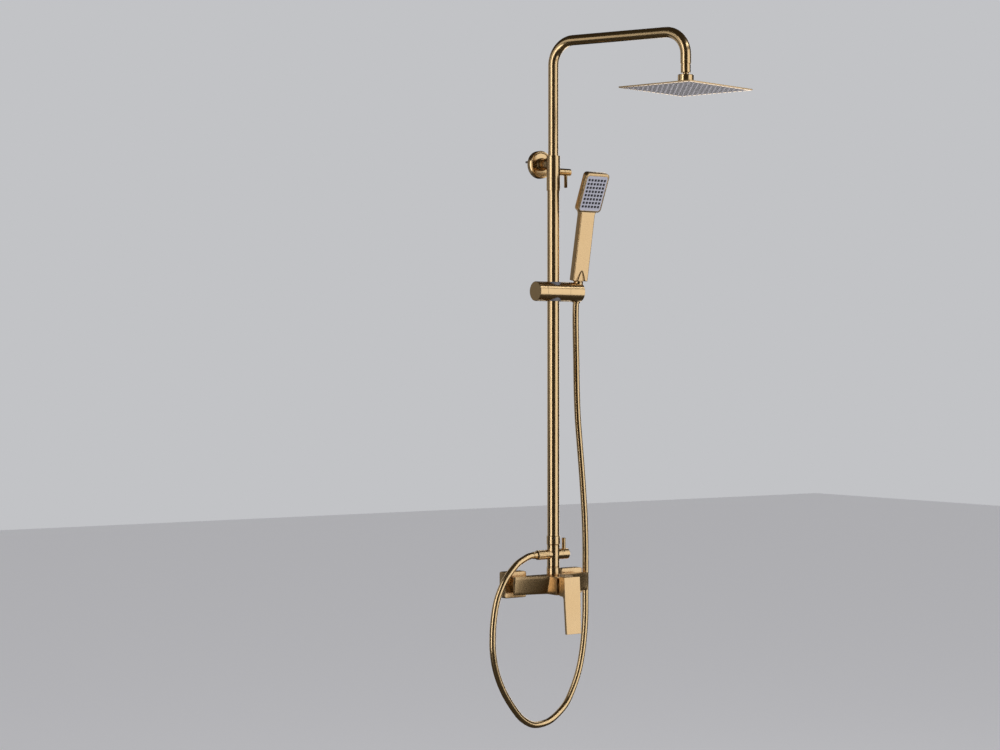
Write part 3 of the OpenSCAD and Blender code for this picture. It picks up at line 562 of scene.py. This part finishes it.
def groove_depth(x, z):
    """Depth of the two grooves beside the pointed arch at the handle's foot."""
    t = (z - HANDLE_FOOT) / (ARCH_TOP - HANDLE_FOOT)
    if t > 1.12:
        return 0.0
    line = ARCH_HALF * max(0.0, 1 - t) ** 0.67
    width = 0.7 + 1.3 * max(0.0, 1 - t)
    fade = min(1.0, (1.12 - t) * 4)
    return GROOVE * fade * math.exp(-((abs(x) - line) / width) ** 2)


def handle_ring(z, inset):
    """The handle's section at this height: it narrows upwards, then flares at the head."""
    flare = max(0.0, (z - 168) / (HANDLE_TOP - 168))
    taper = (z - HANDLE_FOOT) / (HANDLE_TOP - HANDLE_FOOT)
    half = 19 - taper + 5 * min(1.0, flare) ** 2 - inset
    ring = []
    thick = HANDLE_T - 2 * inset
    for x, y in round_outline(2 * half, thick, 1.6, corner=4, across=44, along=3):
        if y < 0.1 - thick / 2:
            y += groove_depth(x, z)
        ring.append((x, y, z))
    return ring


def hand_shell():
    loft = Loft()
    heights = [(HANDLE_FOOT, 1.2), (25.3, 0.4)] + [(26.0 + k, 0) for k in range(26)]
    heights += [(56 + 10 * k, 0) for k in range(11)] + [(168 + 2 * k, 0) for k in range(7)]
    loft.shell([handle_ring(z, inset) for z, inset in heights], at_hand)
    block = [(6, 5), (2.6, 4.6), (0.8, 3.8), (0, 2.5),
             (0, -7.4), (0.7, -8.7), (2.2, -9.35), (4, -9.5)]
    rings = [[(x, y, z) for x, z in round_outline(62 - i, 88 - i, 8 - i / 2, mid=(0, 42))]
             for i, y in block]
    pocket = round_outline(FACE_W, FACE_H, 5.5, mid=(0, FACE_MID))
    rings += [[(x, -9.5, z) for x, z in pocket], [(x, -7.1, z) for x, z in pocket]]
    loft.shell(rings, at_spray)
    spigot = [(7.95, 15.7), (7.95, 23.3), (9.4, 23.3), (9.7, 23.6), (9.7, 25.4), (7.9, 25.4)]
    loft.shell([[(x, y, z) for x, y in circle(r)] for r, z in spigot], at_hand)
    return loft.make("hand_shower_shell", gold_flat, "hand_shower", ["hand_body"])


hand_shell()

# %% [markdown]
# Nozzles repeat, so Geometry Nodes places them: a grid of points, one tapered nozzle on
# each, each leaning a little its own way from a fixed seed, as soft silicone does.

# %% nozzle tree
def nozzle_tree():
    tree, given = shape_tree("nozzle_field", [
        ("Columns", "Int"), ("Rows", "Int"), ("Pitch across", "Float"), ("Pitch along", "Float"),
        ("Base radius", "Float"), ("Tip radius", "Float"), ("Height", "Float"), ("Sides", "Int"),
        ("Turn", "Float"), ("Lean", "Float"), ("Seed", "Int"), ("Finish", "Material")])

    def spread(count, pitch):
        gaps = node(tree, "ShaderNodeMath", {"operation": "SUBTRACT"}, {0: given.outputs[count], 1: 1.0})
        size = node(tree, "ShaderNodeMath", {"operation": "MULTIPLY"},
                    {0: gaps.outputs["Value"], 1: given.outputs[pitch]})
        return size.outputs["Value"]

    grid = node(tree, "GeometryNodeMeshGrid", inputs={
        "Size X": spread("Columns", "Pitch across"), "Size Y": spread("Rows", "Pitch along"),
        "Vertices X": given.outputs["Columns"], "Vertices Y": given.outputs["Rows"]})
    nozzle = node(tree, "GeometryNodeMeshCone", inputs={
        "Vertices": given.outputs["Sides"], "Radius Top": given.outputs["Tip radius"],
        "Radius Bottom": given.outputs["Base radius"], "Depth": given.outputs["Height"]})
    back = node(tree, "ShaderNodeMath", {"operation": "MULTIPLY"}, {0: given.outputs["Lean"], 1: -1.0})
    least = node(tree, "ShaderNodeCombineXYZ", inputs={
        "X": back.outputs["Value"], "Y": back.outputs["Value"], "Z": given.outputs["Turn"]})
    most = node(tree, "ShaderNodeCombineXYZ", inputs={
        "X": given.outputs["Lean"], "Y": given.outputs["Lean"], "Z": given.outputs["Turn"]})
    leaning = node(tree, "FunctionNodeRandomValue", {"data_type": "FLOAT_VECTOR"}, {
        "Min": least.outputs["Vector"], "Max": most.outputs["Vector"], "Seed": given.outputs["Seed"]})
    placed = node(tree, "GeometryNodeInstanceOnPoints", inputs={
        "Points": grid.outputs["Mesh"], "Instance": nozzle.outputs["Mesh"],
        "Rotation": leaning.outputs["Value"]})
    whole = node(tree, "GeometryNodeRealizeInstances", inputs={"Geometry": placed.outputs["Instances"]})
    coat = node(tree, "GeometryNodeSetMaterial", inputs={
        "Geometry": whole.outputs["Geometry"], "Material": given.outputs["Finish"]})
    node(tree, "NodeGroupOutput", inputs={"Geometry": coat.outputs["Geometry"]})
    return tree


nozzle_field = nozzle_tree()


def nozzles(name, values, matrix, body, replaced):
    """A field of nozzles that point along +Z of the matrix, in metres."""
    made = mesh_object(name, [], [])
    run_tree(made, nozzle_field, values)
    made.data.transform(matrix)
    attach(made, body)
    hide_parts(*replaced)
    print(name, len(made.data.polygons), "faces")
    return made


# %% [markdown]
# The rain head's mat is one silicone sheet with 13 by 13 nozzles, paler where the silicone
# is thick. The hand shower's nozzles are square black pads that stand just proud.

# %% rain head mat and hand nozzles
ARM_REACH, ARM_SWING = 335.0, math.radians(18)
HEAD_TURN, HEAD_TILT = math.radians(-9.4), math.radians(1.6)
BALL_Z, HEAD_Z = 1056.0, 1036.0
MAT_W, MAT_PITCH = 180.8, 13.75
at_ball = (Matrix.Translation((0, -RISER_DEPTH, 0)) @ Matrix.Rotation(ARM_SWING, 4, "Z")
           @ Matrix.Translation((0, -ARM_REACH, BALL_Z)))
at_head = at_ball @ Matrix.Rotation(HEAD_TILT, 4, "X") @ Matrix.Rotation(HEAD_TURN, 4, "Z")
at_mat = at_head @ Matrix.Translation((0, 0, HEAD_Z - BALL_Z))
down = Matrix.Rotation(math.pi, 4, "X")


def in_metres(matrix):
    """The same placing for a mesh whose points are already in metres."""
    return Matrix.Scale(MM, 4) @ matrix @ Matrix.Scale(1 / MM, 4)



mat_plate = Loft()
mat_rings = [(MAT_W - 0.8, 1.45), (MAT_W, 1.1), (MAT_W, 0.5), (MAT_W - 0.6, 0.2)]
mat_plate.shell([[(x, y, z) for x, y in round_outline(w, w, 2)] for w, z in mat_rings], at_mat)
mat_plate.make("rain_mat", finishes["grey_nozzle_mat"], "rain_head", ["head_mat"])

nozzle_silicone = moulded("pale_silicone_nozzle", "#C4C0C4", "#B4B0B4", 0.5)
nozzles("rain_nozzles", {
    "Columns": 13, "Rows": 13, "Pitch across": MAT_PITCH * MM, "Pitch along": MAT_PITCH * MM,
    "Base radius": 2.2 * MM, "Tip radius": 1.3 * MM, "Height": 2.6 * MM, "Sides": 16,
    "Turn": 0.0, "Lean": 0.02, "Seed": 4, "Finish": nozzle_silicone},
    in_metres(at_mat @ Matrix.Translation((0, 0, 0.3)) @ down),
    "rain_head", ["head_mat"])

toward_room = Matrix.Translation((0, -7.6, FACE_MID)) @ Matrix.Rotation(math.pi / 2, 4, "X")
pad_field = {"Columns": 6, "Rows": 8, "Pitch across": 8.2 * MM, "Pitch along": 8.5 * MM,
             "Lean": 0.0, "Finish": finishes["black_rubber"]}
pad = {"Base radius": 3.55 * MM, "Tip radius": 3.45 * MM, "Height": 2.15 * MM, "Sides": 4,
       "Turn": math.pi / 4, "Seed": 1}
spray_tip = {"Base radius": 1.3 * MM, "Tip radius": 0.8 * MM, "Height": 2.7 * MM, "Sides": 12,
             "Turn": 0.0, "Seed": 2}
for name, shape in (("hand_pads", pad), ("hand_nozzle_tips", spray_tip)):
    nozzles(name, {**pad_field, **shape}, in_metres(at_spray @ toward_room),
            "hand_shower", ["hand_nozzles"])

# %% finishes on the CAD pieces
FLAT_NODES = ["mixer_body", "mixer_lever", "wall_rosettes", "hand_body", "head_shell"]
slot_of = {s["node"]: s["material_slot"] for s in frame["record"]["subparts"]}
for name, piece in nodes_by_name.items():
    finish = gold_flat if name in FLAT_NODES else finishes[slot_of[name]]
    for material_slot in piece.material_slots:
        material_slot.material = finish
print("finishes on", len(nodes_by_name), "nodes")

# %% [markdown]
# Light. Round metal shows its surroundings as stripes, so the studio has a wide soft
# panel to the front right, a tall strip to the left, a strip behind on the right and a
# long strip above. Their brightness is what matters in the metal, so each is given as
# brightness and the power follows from its area. Between them the room is dim in the
# metal, while the floor and the plastics see an even pale sky.

# %% lights
def soft_panel(name, azimuth, distance, height, width, tall, brightness, aim=0.5):
    """An area light that stands at this azimuth seen from the column, facing it."""
    data = bpy.data.lights.new(name, "AREA")
    data.shape = "RECTANGLE"
    data.size, data.size_y = width, tall
    data.energy = brightness * math.pi * width * tall
    panel = bpy.data.objects.new(name, data)
    turn = math.radians(azimuth)
    panel.location = (distance * math.sin(turn), -0.1 - distance * math.cos(turn), height)
    to_object = Vector((0, -0.1, aim)) - panel.location
    panel.rotation_euler = to_object.to_track_quat("-Z", "Y").to_euler()
    bpy.context.scene.collection.objects.link(panel)
    return panel


soft_panel("panel_front_right", 30, 2.6, 0.6, 2.5, 2.9, 1.1)
soft_panel("strip_left", -80, 2.3, 0.5, 0.85, 3.0, 2.2)
soft_panel("panel_left_high", -110, 2.3, 1.0, 0.8, 1.5, 0.62)
soft_panel("panel_back_left", -150, 2.4, 0.5, 1.4, 3.0, 0.16)
soft_panel("panel_back", 178, 2.6, 0.6, 1.4, 2.6, 0.45)
soft_panel("strip_back_right", 128, 2.2, 0.5, 0.8, 3.0, 1.6)
soft_panel("strip_above", 30, 2.4, 2.75, 2.6, 0.45, 2.6)


def studio_world():
    """A world that is pale to the eye, even and bright on matt things, and dim in metal."""
    world = bpy.data.worlds.new("studio")
    bpy.context.scene.world = world
    world.use_nodes = True
    tree = world.node_tree
    tree.nodes.clear()
    ray = node(tree, "ShaderNodeLightPath")
    matt = node(tree, "ShaderNodeMix", {"data_type": "RGBA"}, {
        "Factor": ray.outputs["Is Glossy Ray"], "A": linear("#BDBDC0"), "B": linear("#332E25")})
    seen = node(tree, "ShaderNodeMix", {"data_type": "RGBA"}, {
        "Factor": ray.outputs["Is Camera Ray"], "A": matt.outputs["Result"], "B": linear("#C2C3C6")})
    light = node(tree, "ShaderNodeBackground", inputs={"Color": seen.outputs["Result"]})
    node(tree, "ShaderNodeOutputWorld", inputs={"Surface": light.outputs["Background"]})


studio_world()
bpy.context.scene.view_settings.view_transform = "Standard"

# %% floor
FLOOR_Z = -0.95
FLOOR_HALF = 14


def floor_finish_and_painted_reflection():
    """Pale to the eye; in polished metal it shows a painted dark reflection, so the undersides of the
    metal stay dark.
    """
    material, tree = new_material("pale_floor_painted_dark_reflection")
    ray = node(tree, "ShaderNodeLightPath")
    # painted dark reflection: glossy rays see the floor dark brown, while the eye and matt things see it
    # pale
    colour = node(tree, "ShaderNodeMix", {"data_type": "RGBA"}, {
        "Factor": ray.outputs["Is Glossy Ray"], "A": linear("#F4F4F5"), "B": linear("#3C3629")})
    shader = node(tree, "ShaderNodeBsdfPrincipled", inputs={
        "Base Color": colour.outputs["Result"], "Roughness": 0.8})
    close_material(tree, shader)
    return material


floor = mesh_object("floor", [(-FLOOR_HALF, -FLOOR_HALF, FLOOR_Z), (FLOOR_HALF, -FLOOR_HALF, FLOOR_Z),
                              (FLOOR_HALF, FLOOR_HALF, FLOOR_Z), (-FLOOR_HALF, FLOOR_HALF, FLOOR_Z)],
                    [(0, 1, 2, 3)], smooth=False)
floor.data.materials.append(floor_finish_and_painted_reflection())
